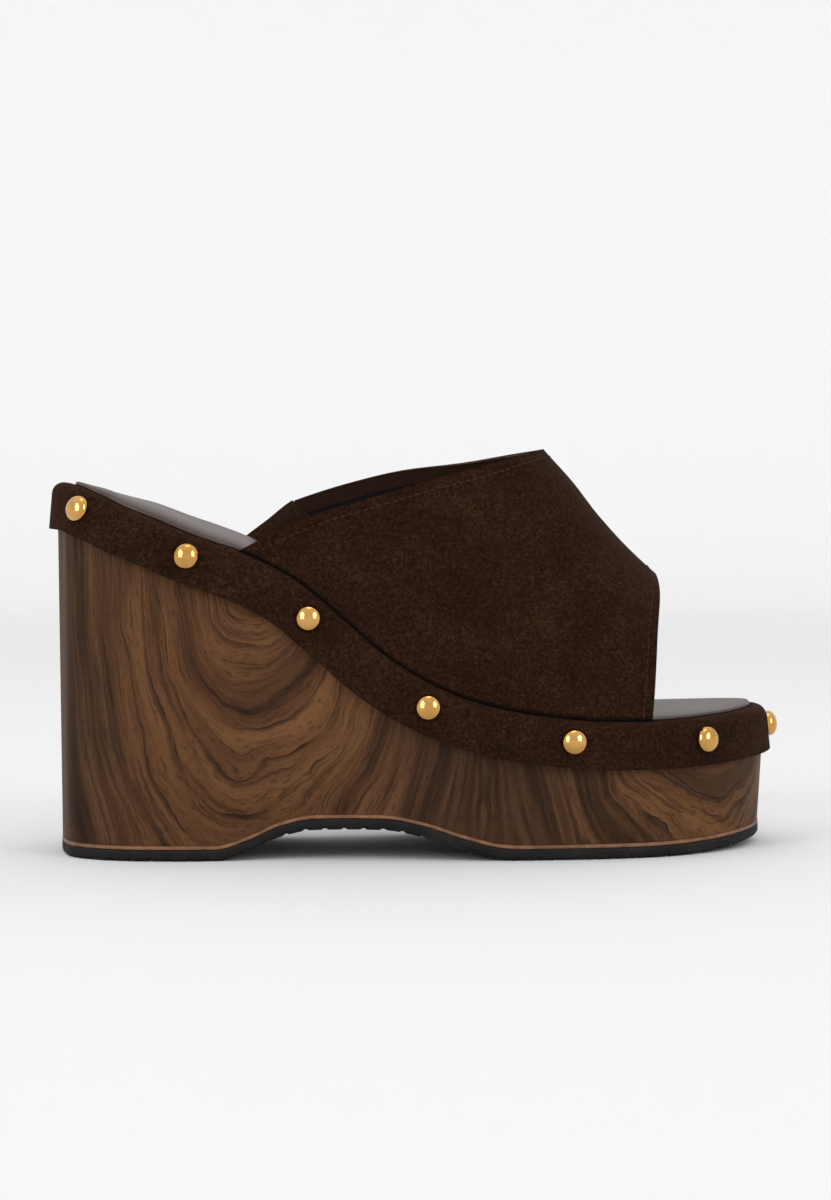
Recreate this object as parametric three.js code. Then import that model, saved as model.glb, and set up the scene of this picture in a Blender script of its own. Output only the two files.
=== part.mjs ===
// Platform mule for the right foot. A high wedge wrapped in wood-grain print stands on a thin rubber
// outsole and carries a suede-wrapped footbed slab with domed studs round its edge. A wide suede vamp
// rises from the slab, and an elastic gore joins its medial rear edge to the slab.
// Millimetres. +X points to the toe, +Y to the medial side, +Z up, and the floor is z = 0. The pieces
// are drawn with the back of the slab's top edge at x = 0, and the whole shoe is centred at the end.

import * as THREE from 'three';
import { mergeVertices } from 'three/addons/utils/BufferGeometryUtils.js';

// Driving sizes of the slab, which has the outline of the last
const SHOE_LENGTH = 233.8;
const HEEL_WIDTH = 67;
const BALL_WIDTH = 88;
const HEEL_ROUND = 34;
const TOE_ROUND = 52;
const TOE_SWING = 4;
const HEEL_HEIGHT = 118.9;
const PLATFORM_HEIGHT = 43;
const WAIST_TWIST = 7.5;
const SLAB_THICKNESS = 14.9;
const HEEL_END_THICKNESS = 15.4;
const SLAB_EDGE_ROUND = 4;
const HEEL_WALL_LEAN = 0.5;
const SLAB_LOWER_ROUND = 0.9;

// Driving sizes of wedge and sole
const SLAB_OVERHANG = 2.8;
const WEDGE_TAPER = 1.3;
const SOLE_LIP = 0.25;
const OUTSOLE_THICKNESS = 3.4;
const OUTSOLE_EDGE_ROUND = 1.6;
const EDGE_LAYER_THICKNESS = 1;
const ARCH_HEIGHT = 11.9;
const TOE_SPRING = 3;
const RIB_PITCH = 6;
const RIB_GROOVE = 2;
const RIB_DEPTH = 0.6;
const RIB_MARGIN = 9;

// Driving sizes of insole and upper
const INSOLE_INSET = 3.2;
const INSOLE_EDGE = 0.8;
const HEEL_PAD_THICKNESS = 3.5;
const PAD_SHOULDER = 12;
const VAMP_INSET = 3;
const VAMP_WALL = 1.8;
const VAMP_PEAK_RISE = 87;
const GORE_WALL = 1.1;
const GORE_RECESS = 0.35;

// Driving sizes of the studs
const STUD_DIAMETER = 8.3;
const STUD_HEIGHT = 3.1;
const STUD_RIM = 0.5;
const STUD_DROP = 6.7;
const MEDIAL_STUD_DROP = 8.2;

// Signs of the two sides, and degrees from a side of the last to its ridge
const LATERAL = -1;
const MEDIAL = 1;
const QUARTER = 90;

// Clearance between pieces that meet, and how finely the outline and the vamp are cut
const GAP = 0.3;
const STATIONS = 56;
const VAMP_RIBS = 34;
const VAMP_STEPS = 14;
const GORE_RIBS = 8;
const GORE_STEPS = 8;

// Slab outline: half widths, as shares of the width at that place, at each share of the length
const OUTLINE = [
  { at: 0.000, lateral: 0.455, medial: 0.452 },
  { at: 0.072, lateral: 0.476, medial: 0.474 },
  { at: 0.140, lateral: 0.492, medial: 0.469 },
  { at: 0.205, lateral: 0.524, medial: 0.473 },
  { at: 0.290, lateral: 0.526, medial: 0.472 },
  { at: 0.376, lateral: 0.536, medial: 0.466 },
  { at: 0.482, lateral: 0.533, medial: 0.443 },
  { at: 0.546, lateral: 0.523, medial: 0.446 },
  { at: 0.632, lateral: 0.510, medial: 0.469 },
  { at: 0.717, lateral: 0.508, medial: 0.492 },
  { at: 0.803, lateral: 0.490, medial: 0.479 },
  { at: 0.888, lateral: 0.466, medial: 0.466 },
  { at: 0.953, lateral: 0.447, medial: 0.440 },
  { at: 1.000, lateral: 0.420, medial: 0.412 },
];

// Where the width of the heel gives way to the width of the ball
const WIDENING = { from: 0.33, to: 0.66 };

// Footbed: rise as a share of the drop from heel to platform, and twist of the medial over the lateral
// edge as a share of the waist's twist
const FOOTBED = [
  { at: 0.000, rise: 1.000, twist: 0.00 },
  { at: 0.025, rise: 0.986, twist: 0.00 },
  { at: 0.065, rise: 0.933, twist: 0.00 },
  { at: 0.098, rise: 0.895, twist: 0.25 },
  { at: 0.140, rise: 0.854, twist: 0.50 },
  { at: 0.183, rise: 0.802, twist: 0.61 },
  { at: 0.260, rise: 0.722, twist: 0.76 },
  { at: 0.320, rise: 0.633, twist: 0.90 },
  { at: 0.380, rise: 0.486, twist: 0.97 },
  { at: 0.440, rise: 0.326, twist: 1.00 },
  { at: 0.504, rise: 0.194, twist: 0.80 },
  { at: 0.568, rise: 0.100, twist: 0.45 },
  { at: 0.654, rise: 0.036, twist: 0.19 },
  { at: 0.748, rise: 0.004, twist: 0.05 },
  { at: 0.846, rise: 0.000, twist: 0.00 },
  { at: 1.000, rise: 0.000, twist: 0.00 },
];

// Underside of the sole: rise of the arch on each side as a share of its height
const ARCH = [
  { at: 0.000, lateral: 0.00, medial: 0.00 },
  { at: 0.217, lateral: 0.00, medial: 0.00 },
  { at: 0.260, lateral: 0.24, medial: 0.11 },
  { at: 0.303, lateral: 0.61, medial: 0.47 },
  { at: 0.346, lateral: 0.79, medial: 0.84 },
  { at: 0.397, lateral: 0.81, medial: 0.98 },
  { at: 0.440, lateral: 0.80, medial: 1.00 },
  { at: 0.491, lateral: 0.62, medial: 0.80 },
  { at: 0.547, lateral: 0.27, medial: 0.34 },
  { at: 0.598, lateral: 0.03, medial: 0.04 },
  { at: 0.624, lateral: 0.00, medial: 0.00 },
  { at: 1.000, lateral: 0.00, medial: 0.00 },
];

// Share of the length at which the toe begins to spring and the toe begins to swing
const SPRING_FROM = 0.78;
const SWING_FROM = 0.65;

// Insole: thickness as a share of the heel pad's, and how far the edge has drawn in, to clear the round
// of the rim at the back and to pass inside the vamp
const HEEL_PAD = [
  { at: 0.000, full: 0.30, drawn: 2.0 },
  { at: 0.030, full: 0.40, drawn: 1.2 },
  { at: 0.050, full: 0.56, drawn: 0.6 },
  { at: 0.065, full: 0.72, drawn: 0.4 },
  { at: 0.080, full: 0.82, drawn: 0.2 },
  { at: 0.104, full: 0.84, drawn: 0.0 },
  { at: 0.170, full: 0.84, drawn: 0.0 },
  { at: 0.217, full: 0.74, drawn: 0.0 },
  { at: 0.243, full: 0.68, drawn: 1.0 },
  { at: 0.337, full: 0.43, drawn: 1.0 },
  { at: 1.000, full: 0.43, drawn: 1.0 },
];

// Ridge of the vamp over the slab, as a share of the peak's rise over the platform. Behind the peak the
// ridge is open, and its line only shapes the sides.
const RIDGE = [
  { at: 0.256, rise: 2.370 },
  { at: 0.466, rise: 1.680 },
  { at: 0.676, rise: 1.000 },
  { at: 0.716, rise: 0.882 },
  { at: 0.754, rise: 0.752 },
  { at: 0.803, rise: 0.612 },
  { at: 0.855, rise: 0.495 },
  { at: 0.921, rise: 0.400 },
];

// Edges of the vamp and the gore: degrees of turn round the last from the slab on that side, where 90 is
// the ridge, against the share of the length
const LATERAL_TOPLINE = [
  { turn: 0.0, at: 0.248 },
  { turn: 2.1, at: 0.270 },
  { turn: 5.3, at: 0.304 },
  { turn: 9.7, at: 0.342 },
  { turn: 15.4, at: 0.386 },
  { turn: 21.8, at: 0.436 },
  { turn: 28.6, at: 0.482 },
  { turn: 39.5, at: 0.556 },
  { turn: 49.0, at: 0.602 },
  { turn: 63.4, at: 0.647 },
  { turn: 90.0, at: 0.678 },
];
const MEDIAL_TOPLINE = [
  { turn: 9.0, at: 0.337 },
  { turn: 13.6, at: 0.373 },
  { turn: 17.6, at: 0.403 },
  { turn: 22.0, at: 0.436 },
  { turn: 28.8, at: 0.482 },
  { turn: 40.0, at: 0.556 },
  { turn: 49.3, at: 0.602 },
  { turn: 63.4, at: 0.647 },
  { turn: 90.0, at: 0.678 },
];
const GORE_SEAM = [
  { turn: 0.0, at: 0.414 },
  { turn: 3.7, at: 0.373 },
  { turn: 9.0, at: 0.337 },
];
const GORE_TOPLINE = [
  { turn: 0.0, at: 0.263 },
  { turn: 4.0, at: 0.299 },
  { turn: 8.3, at: 0.334 },
];
const FRONT_EDGE = [
  { turn: 0, at: 0.800 },
  { turn: 30, at: 0.812 },
  { turn: 60, at: 0.829 },
  { turn: 90, at: 0.837 },
];

// Studs: side of the slab, and share of that side's edge from the back to the toe
const STUDS = [
  { side: LATERAL, along: 0.088 },
  { side: LATERAL, along: 0.222 },
  { side: LATERAL, along: 0.374 },
  { side: LATERAL, along: 0.525 },
  { side: LATERAL, along: 0.676 },
  { side: LATERAL, along: 0.827 },
  { side: LATERAL, along: 0.975 },
  { side: MEDIAL, along: 0.895 },
  { side: MEDIAL, along: 0.751 },
  { side: MEDIAL, along: 0.600 },
  { side: MEDIAL, along: 0.445 },
  { side: MEDIAL, along: 0.331 },
  { side: MEDIAL, along: 0.167 },
];

function material(color, roughness, metalness = 0) {
  return new THREE.MeshStandardMaterial({ color, roughness, metalness });
}

// Smooth curve through one column of a table, against another column
function curve(rows, column, key = 'at') {
  const slopes = rows.map((row, i) => {
    const before = rows[Math.max(i - 1, 0)];
    const after = rows[Math.min(i + 1, rows.length - 1)];
    const left = (row[column] - before[column]) / Math.max(row[key] - before[key], 1e-9);
    const right = (after[column] - row[column]) / Math.max(after[key] - row[key], 1e-9);
    if (i === 0) return right;
    if (i === rows.length - 1) return left;
    return left * right <= 0 ? 0 : (2 * left * right) / (left + right);
  });
  return (value) => {
    let i = rows.findIndex((row) => row[key] >= value) - 1;
    if (i === -2) i = rows.length - 2;
    i = Math.max(i, 0);
    const step = rows[i + 1][key] - rows[i][key];
    const t = THREE.MathUtils.clamp((value - rows[i][key]) / step, 0, 1);
    const fall = (1 + 2 * t) * (1 - t) * (1 - t);
    return rows[i][column] * fall + rows[i + 1][column] * (1 - fall)
      + step * t * (1 - t) * (slopes[i] * (1 - t) - slopes[i + 1] * t);
  };
}

const lateralShare = curve(OUTLINE, 'lateral');
const medialShare = curve(OUTLINE, 'medial');
const bedRise = curve(FOOTBED, 'rise');
const bedTwist = curve(FOOTBED, 'twist');
const lateralArch = curve(ARCH, 'lateral');
const medialArch = curve(ARCH, 'medial');
const padShare = curve(HEEL_PAD, 'full');
const drawnShare = curve(HEEL_PAD, 'drawn');
const ridgeRise = curve(RIDGE, 'rise');

// Half circle or ellipse at a round end, as a share of the full width
function roundEnd(distance, length) {
  const left = 1 - Math.min(Math.max(distance, 0) / length, 1);
  return Math.sqrt(1 - left * left);
}

// Growth from 0 to 1 beyond a share of the length
function growth(at, from) {
  const t = Math.max(at - from, 0) / (1 - from);
  return t * t;
}

function centreLine(x) {
  return TOE_SWING * growth(x / SHOE_LENGTH, SWING_FROM);
}

function halfWidth(x, side) {
  const at = x / SHOE_LENGTH;
  const widening = THREE.MathUtils.smoothstep(at, WIDENING.from, WIDENING.to);
  const width = HEEL_WIDTH + (BALL_WIDTH - HEEL_WIDTH) * widening;
  const share = side === LATERAL ? lateralShare(at) : medialShare(at);
  return width * share * roundEnd(x, HEEL_ROUND) * roundEnd(SHOE_LENGTH - x, TOE_ROUND);
}

function toeLift(x) {
  return TOE_SPRING * growth(x / SHOE_LENGTH, SPRING_FROM);
}

// Place across the slab: -1 on the lateral edge, 1 on the medial edge
function bankAt(x, y) {
  const width = halfWidth(x, LATERAL) + halfWidth(x, MEDIAL);
  if (width < 1e-6) return 0;
  return (2 * (y - centreLine(x) + halfWidth(x, LATERAL))) / width - 1;
}

// Height of the slab's top at a place across it
function bedHeight(x, bank) {
  const at = THREE.MathUtils.clamp(x / SHOE_LENGTH, 0, 1);
  const drop = HEEL_HEIGHT - PLATFORM_HEIGHT;
  return PLATFORM_HEIGHT + drop * bedRise(at) + bank * WAIST_TWIST * bedTwist(at) / 2 + toeLift(x);
}

// Angle by which the slab's top falls towards the toe
function bedSlope(x, bank) {
  const step = SHOE_LENGTH / 400;
  const from = Math.max(x - step, 0);
  const to = Math.min(x + step, SHOE_LENGTH);
  return Math.atan2(bedHeight(from, bank) - bedHeight(to, bank), to - from);
}

// Angle between the slab's side and the upright, along the shoe: square to the top, but steeper at the heel
function sideLean(x, bank) {
  const share = THREE.MathUtils.lerp(HEEL_WALL_LEAN, 1, THREE.MathUtils.smoothstep(x, 0, HEEL_ROUND));
  return bedSlope(x, bank) * share;
}

// How far a point lies behind the slab's top edge for a drop square to the top
function dropBack(x, bank, drop) {
  const lean = sideLean(x, bank);
  const run = drop / Math.cos(bedSlope(x, bank) - lean);
  return new THREE.Vector2(run * Math.sin(lean), run * Math.cos(lean));
}

// Height of the underside of the sole
function groundHeight(x, side) {
  const at = THREE.MathUtils.clamp(x / SHOE_LENGTH, 0, 1);
  const arch = side === LATERAL ? lateralArch(at) : medialArch(at);
  return ARCH_HEIGHT * arch + toeLift(x);
}

// Plan point of the slab's edge at a station from 0, the back, to 1, the toe, moved in by an inset
function edgePoint(station, side, inset) {
  const place = (s) => {
    const x = SHOE_LENGTH * (1 - Math.cos(Math.PI * s)) / 2;
    return new THREE.Vector2(x, centreLine(x) + side * halfWidth(x, side));
  };
  if (station <= 0) return new THREE.Vector2(inset, centreLine(0));
  if (station >= 1) return new THREE.Vector2(SHOE_LENGTH - inset, centreLine(SHOE_LENGTH));
  const step = 1e-3;
  const along = place(Math.min(station + step, 1)).sub(place(Math.max(station - step, 0))).normalize();
  return place(station).add(new THREE.Vector2(side * along.y, -side * along.x).multiplyScalar(inset));
}

// Point in the slab: moved in from its edge and down from its top, square to the top
function slabPoint(station, side, inset, drop) {
  const plan = edgePoint(station, side, inset);
  const bank = station <= 0 || station >= 1 ? 0 : bankAt(plan.x, plan.y);
  const down = dropBack(plan.x, bank, drop);
  return new THREE.Vector3(plan.x - down.x, plan.y, bedHeight(plan.x, bank) - down.y);
}

// Thickness of the slab, a little more at the very back
function slabThickness(x) {
  const share = THREE.MathUtils.smoothstep(x, 0, HEEL_ROUND / 2);
  return THREE.MathUtils.lerp(HEEL_END_THICKNESS, SLAB_THICKNESS, share);
}

// Point near the slab's underside: moved in from its edge and down from the underside
function slabFootPoint(station, side, inset, drop) {
  return slabPoint(station, side, inset, slabThickness(edgePoint(station, side, inset).x) + drop);
}

// Point under the wedge: in from the slab's edge, and up from the underside of the sole
function solePoint(station, side, inset, rise) {
  const plan = edgePoint(station, side, SLAB_OVERHANG + WEDGE_TAPER + inset);
  const x = plan.x - dropBack(plan.x, 0, SLAB_THICKNESS).x;
  return new THREE.Vector3(x, plan.y, groundHeight(x, side) + rise);
}

const evenStations = Array.from({ length: STATIONS + 1 }, (_, i) => i / STATIONS);

// Ring of points round the outline, as its lateral and its medial half from the back to the toe
function ring(stations, point) {
  return {
    lateral: stations.map((station) => point(station, LATERAL)),
    medial: stations.map((station) => point(station, MEDIAL)),
  };
}

// Triangles that are gathered into one closed geometry
class Shell {
  constructor() {
    this.corners = [];
  }

  triangle(a, b, c) {
    this.corners.push(...a.toArray(), ...b.toArray(), ...c.toArray());
  }

  quad(a, b, c, d) {
    this.triangle(a, b, c);
    this.triangle(a, c, d);
  }

  geometry() {
    const loose = new THREE.BufferGeometry();
    loose.setAttribute('position', new THREE.Float32BufferAttribute(this.corners, 3));
    const merged = mergeVertices(loose, 1e-3);
    const index = merged.getIndex().array;
    const kept = [];
    for (let i = 0; i < index.length; i += 3) {
      const [a, b, c] = [index[i], index[i + 1], index[i + 2]];
      if (a !== b && b !== c && c !== a) kept.push(a, b, c);
    }
    merged.setIndex(kept);
    merged.computeVertexNormals();
    return merged;
  }
}

// Solid whose sides pass through rings from the lowest to the highest. Its top is a grid from side to
// side with a lift at each point, and its bottom a plain strip.
function stackedSolid(rings, columns = [0, 1], lift = null) {
  const shell = new Shell();
  const last = rings[0].lateral.length - 1;
  for (let k = 0; k < rings.length - 1; k += 1) {
    const [low, high] = [rings[k], rings[k + 1]];
    for (let i = 0; i < last; i += 1) {
      shell.quad(low.lateral[i], low.lateral[i + 1], high.lateral[i + 1], high.lateral[i]);
      shell.quad(low.medial[i + 1], low.medial[i], high.medial[i], high.medial[i + 1]);
    }
  }
  const [bottom, top] = [rings[0], rings[rings.length - 1]];
  const grid = columns.map((share, j) => top.lateral.map((point, i) => {
    const place = point.clone().lerp(top.medial[i], share);
    const inside = lift && j > 0 && j < columns.length - 1 && i > 0 && i < last;
    if (inside) place.z += lift(place, place.distanceTo(point), place.distanceTo(top.medial[i]));
    return place;
  }));
  for (let i = 0; i < last; i += 1) {
    shell.quad(bottom.lateral[i], bottom.medial[i], bottom.medial[i + 1], bottom.lateral[i + 1]);
    for (let j = 0; j < grid.length - 1; j += 1) {
      shell.quad(grid[j][i], grid[j][i + 1], grid[j + 1][i + 1], grid[j + 1][i]);
    }
  }
  return shell.geometry();
}

// Rings that turn a quarter round from an upright side to a level face
function quarterRound(radius, steps = 3) {
  return Array.from({ length: steps + 1 }, (_, k) => {
    const turn = (Math.PI / 2) * (k / steps);
    return { inset: radius * (1 - Math.cos(turn)), drop: radius * (1 - Math.sin(turn)) };
  });
}

// Outsole: black rubber with straight ribs across its underside, cut through at the edge
function ribStations() {
  const placeOf = (station) => solePoint(station, LATERAL, 0, 0).x;
  const stationOf = (x) => {
    let [low, high] = [0, 1];
    while (high - low > 1e-7) {
      const middle = (low + high) / 2;
      if (placeOf(middle) < x) low = middle;
      else high = middle;
    }
    return low;
  };
  const [from, to] = [placeOf(0) + RIB_MARGIN, placeOf(1) - RIB_MARGIN];
  const ribs = Math.floor((to - from) / RIB_PITCH);
  const cuts = [];
  for (let k = 0; k < ribs; k += 1) {
    const start = from + k * RIB_PITCH;
    cuts.push({ station: stationOf(start), depth: 0 });
    cuts.push({ station: stationOf(start + RIB_GROOVE / 2), depth: RIB_DEPTH });
    cuts.push({ station: stationOf(start + RIB_GROOVE), depth: 0 });
  }
  const [first, final] = [cuts[0].station, cuts[cuts.length - 1].station];
  const spare = 0.3 / STATIONS;
  const ends = evenStations.filter((station) => station < first - spare || station > final + spare);
  return [...ends.map((station) => ({ station, depth: 0 })), ...cuts].sort((a, b) => a.station - b.station);
}

const ribCuts = ribStations();
const soleStations = ribCuts.map((cut) => cut.station);

function outsole() {
  const level = (inset, rise, share) => ({
    lateral: ribCuts.map((cut) => (
      solePoint(cut.station, LATERAL, inset - SOLE_LIP, rise + share * cut.depth))),
    medial: ribCuts.map((cut) => (
      solePoint(cut.station, MEDIAL, inset - SOLE_LIP, rise + share * cut.depth))),
  });
  const round = quarterRound(OUTSOLE_EDGE_ROUND, 2).reverse();
  const rings = round.map((step, k) => level(step.inset, step.drop, 1 - k / round.length));
  rings.push(ring(soleStations, (s, side) => solePoint(s, side, -SOLE_LIP, OUTSOLE_THICKNESS)));
  return new THREE.Mesh(stackedSolid(rings), material(0x201f1e, 0.6));
}

// Thin tan layer between outsole and wedge
function edgeLayer() {
  const low = OUTSOLE_THICKNESS + GAP;
  const rings = [low, low + EDGE_LAYER_THICKNESS].map((rise) => (
    ring(soleStations, (s, side) => solePoint(s, side, -SOLE_LIP, rise))));
  return new THREE.Mesh(stackedSolid(rings), material(0x96643e, 0.55));
}

// Wedge: from the arched sole up to the underside of the slab, a little wider at its top
function wedge() {
  const foot = OUTSOLE_THICKNESS + EDGE_LAYER_THICKNESS + 2 * GAP;
  const low = ring(soleStations, (s, side) => solePoint(s, side, 0, foot));
  const high = ring(soleStations, (s, side) => slabFootPoint(s, side, SLAB_OVERHANG, GAP));
  return new THREE.Mesh(stackedSolid([low, high]), material(0x694b34, 0.45));
}

// Footbed slab wrapped in suede, with a round top edge
function rand() {
  const rings = [
    ring(evenStations, (s, side) => slabFootPoint(s, side, SLAB_LOWER_ROUND, 0)),
    ring(evenStations, (s, side) => slabFootPoint(s, side, 0, -SLAB_LOWER_ROUND)),
    ...quarterRound(SLAB_EDGE_ROUND).map((step) => (
      ring(evenStations, (s, side) => slabPoint(s, side, step.inset, step.drop)))),
  ];
  return new THREE.Mesh(stackedSolid(rings), material(0x342118, 0.95));
}

// Insole: thin smooth leather, padded at the heel, drawn in where it passes inside the vamp
function insole() {
  const drawn = VAMP_INSET + VAMP_WALL + GAP - INSOLE_INSET;
  const insetAt = (station) => {
    const at = (1 - Math.cos(Math.PI * station)) / 2;
    return INSOLE_INSET + drawn * drawnShare(at);
  };
  const level = (extra, rise) => ring(evenStations, (s, side) => (
    slabPoint(s, side, insetAt(s) + extra, -rise)));
  const softening = INSOLE_EDGE / 3;
  const rings = [
    level(softening, GAP),
    level(0, GAP + INSOLE_EDGE / 2),
    level(softening, GAP + INSOLE_EDGE),
  ];
  const columns = [0, 0.03, 0.08, 0.16, 0.3, 0.5, 0.7, 0.84, 0.92, 0.97, 1];
  const lift = (place, fromLateral, fromMedial) => {
    const inward = Math.min(fromLateral, fromMedial, place.x - insetAt(0));
    const crown = HEEL_PAD_THICKNESS * padShare(place.x / SHOE_LENGTH) - INSOLE_EDGE;
    return crown * roundEnd(inward, PAD_SHOULDER);
  };
  return new THREE.Mesh(stackedSolid(rings, columns, lift), material(0x3a2922, 0.35));
}

// Surface of the last under the upper: a turn of 0 stands on the slab's lateral side, 90 is the ridge
// and 180 the medial side. Depth goes inwards, square to the surface.
function lastPoint(x, turn, depth = 0) {
  const place = (along, degrees) => {
    const angle = THREE.MathUtils.degToRad(degrees);
    const side = degrees < QUARTER ? LATERAL : MEDIAL;
    const reach = halfWidth(along, side) - VAMP_INSET;
    const y = centreLine(along) - reach * Math.cos(angle);
    const base = bedHeight(along, bankAt(along, y)) + GAP / Math.cos(bedSlope(along, 0));
    const ridge = PLATFORM_HEIGHT + VAMP_PEAK_RISE * ridgeRise(along / SHOE_LENGTH);
    return new THREE.Vector3(along, y, base + (ridge - bedHeight(along, 0)) * Math.sin(angle));
  };
  const point = place(x, turn);
  if (depth === 0) return point;
  const [step, tilt] = [0.5, 0.2];
  const forward = place(x + step, turn).sub(place(x - step, turn));
  const upward = place(x, Math.min(turn + tilt, 2 * QUARTER)).sub(place(x, Math.max(turn - tilt, 0)));
  const outward = forward.cross(upward).normalize();
  if (turn === 0 || turn === 2 * QUARTER) outward.setZ(0).normalize();
  return point.addScaledVector(outward, -depth);
}

// Wall of the upper over a patch of the last, between a rear and a front edge given for each turn
function upperWall(turns, rearAt, frontAt, steps, outer, inner) {
  const layer = (depth) => turns.map((turn) => {
    const [rear, front] = [rearAt(turn) * SHOE_LENGTH, frontAt(turn) * SHOE_LENGTH];
    return Array.from({ length: steps + 1 }, (_, i) => (
      lastPoint(rear + (front - rear) * (i / steps), turn, depth)));
  });
  const [skin, lining] = [layer(outer), layer(inner)];
  const shell = new Shell();
  const top = turns.length - 1;
  for (let j = 0; j < top; j += 1) {
    for (let i = 0; i < steps; i += 1) {
      shell.quad(skin[j][i], skin[j][i + 1], skin[j + 1][i + 1], skin[j + 1][i]);
      shell.quad(lining[j][i], lining[j + 1][i], lining[j + 1][i + 1], lining[j][i + 1]);
    }
    shell.quad(skin[j][0], skin[j + 1][0], lining[j + 1][0], lining[j][0]);
    shell.quad(skin[j][steps], lining[j][steps], lining[j + 1][steps], skin[j + 1][steps]);
  }
  for (let i = 0; i < steps; i += 1) {
    shell.quad(skin[0][i], lining[0][i], lining[0][i + 1], skin[0][i + 1]);
    shell.quad(skin[top][i], skin[top][i + 1], lining[top][i + 1], lining[top][i]);
  }
  return shell.geometry();
}

const lateralTopline = curve(LATERAL_TOPLINE, 'at', 'turn');
const medialTopline = curve(MEDIAL_TOPLINE, 'at', 'turn');
const goreSeam = curve(GORE_SEAM, 'at', 'turn');
const goreTopline = curve(GORE_TOPLINE, 'at', 'turn');
const frontEdge = curve(FRONT_EDGE, 'at', 'turn');

// Turn from the slab on the nearer side
function turnFromSlab(turn) {
  return Math.min(turn, 2 * QUARTER - turn);
}

// Vamp: one wide suede piece over the instep, open at throat, toe and underneath
function vamp() {
  const corner = 2 * QUARTER - MEDIAL_TOPLINE[0].turn;
  const even = Array.from({ length: VAMP_RIBS + 1 }, (_, j) => (
    QUARTER * (1 - Math.cos(Math.PI * j / VAMP_RIBS))));
  const nearest = even.reduce((best, turn, j) => (
    Math.abs(turn - corner) < Math.abs(even[best] - corner) ? j : best), 0);
  const turns = even.map((turn, j) => (j === nearest ? corner : turn));
  turns[0] = 0;
  turns[VAMP_RIBS] = 2 * QUARTER;
  const rearAt = (turn) => {
    if (turn <= QUARTER) return lateralTopline(turn);
    const back = turnFromSlab(turn);
    return turn > corner ? goreSeam(back) : medialTopline(back);
  };
  const frontAt = (turn) => frontEdge(turnFromSlab(turn));
  const wall = upperWall(turns, rearAt, frontAt, VAMP_STEPS, 0, VAMP_WALL);
  return new THREE.Mesh(wall, material(0x37241a, 0.95));
}

// Gore: elastic between the slab and the vamp's medial rear edge, a little behind the suede's face
function gore() {
  const height = GORE_TOPLINE[GORE_TOPLINE.length - 1].turn;
  const turns = Array.from({ length: GORE_RIBS + 1 }, (_, j) => (
    2 * QUARTER - height * (1 - j / GORE_RIBS)));
  const rearAt = (turn) => goreTopline(2 * QUARTER - turn);
  const frontAt = (turn) => goreSeam(2 * QUARTER - turn) - GAP / SHOE_LENGTH;
  const wall = upperWall(turns, rearAt, frontAt, GORE_STEPS, GORE_RECESS, GORE_RECESS + GORE_WALL);
  return new THREE.Mesh(wall, material(0x241811, 0.9));
}

// Stations at even steps along one side of the slab's top edge, with the length run so far
function edgeRun(side) {
  const run = [{ station: 0, length: 0 }];
  for (let i = 1; i <= 400; i += 1) {
    const [from, to] = [(i - 1) / 400, i / 400];
    const step = slabPoint(from, side, 0, 0).distanceTo(slabPoint(to, side, 0, 0));
    run.push({ station: to, length: run[i - 1].length + step });
  }
  return run;
}

// Stud: a polished dome on a short rim, seated on the slab's side
function stud({ side, along }) {
  const run = edgeRun(side);
  const goal = along * run[run.length - 1].length;
  const { station } = run.find((mark) => mark.length >= goal);
  const drop = side === LATERAL ? STUD_DROP : MEDIAL_STUD_DROP;
  const seat = slabPoint(station, side, 0, drop);
  const forward = slabPoint(station + 0.005, side, 0, drop);
  forward.sub(slabPoint(station - 0.005, side, 0, drop));
  const upward = slabPoint(station, side, 0, 0).sub(seat);
  const outward = forward.cross(upward).multiplyScalar(-side).normalize();
  const radius = STUD_DIAMETER / 2;
  const profile = [new THREE.Vector2(0, 0), new THREE.Vector2(radius, 0)];
  for (let k = 0; k <= 5; k += 1) {
    const turn = (Math.PI / 2) * (k / 5);
    const height = STUD_RIM + (STUD_HEIGHT - STUD_RIM) * Math.sin(turn);
    profile.push(new THREE.Vector2(k === 5 ? 0 : radius * Math.cos(turn), height));
  }
  const dome = new THREE.Mesh(new THREE.LatheGeometry(profile, 12), material(0xd8a95c, 0.15, 1));
  dome.quaternion.setFromUnitVectors(new THREE.Vector3(0, 1, 0), outward);
  dome.position.copy(seat).addScaledVector(outward, GAP);
  return dome;
}

function named(mesh, name) {
  mesh.name = name;
  return mesh;
}

const shoe = new THREE.Group();
shoe.add(
  named(outsole(), 'outsole'),
  named(edgeLayer(), 'edge_layer'),
  named(wedge(), 'wedge'),
  named(rand(), 'rand'),
  named(insole(), 'insole'),
  named(vamp(), 'vamp'),
  named(gore(), 'gore'),
  ...STUDS.map((row, i) => named(stud(row), `stud_${String(i + 1).padStart(2, '0')}`)),
);

// The origin is on the floor, under the middle of the whole shoe
const bounds = new THREE.Box3().setFromObject(shoe);
const middle = bounds.getCenter(new THREE.Vector3());
shoe.position.set(-middle.x, -middle.y, -bounds.min.z);

export default shoe;
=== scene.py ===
# Platform mule for the right foot: a high wedge in wood-grain print on a rubber outsole, a suede-wrapped
# footbed slab with gold studs, a padded leather insole and a wide suede vamp with an elastic gore.
# The form is worked out in millimetres, with the back of the slab's top edge at x = 0, and each finished
# mesh is in metres in the part's frame: +X to the toe, +Y to the medial side, +Z up.

import math

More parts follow.
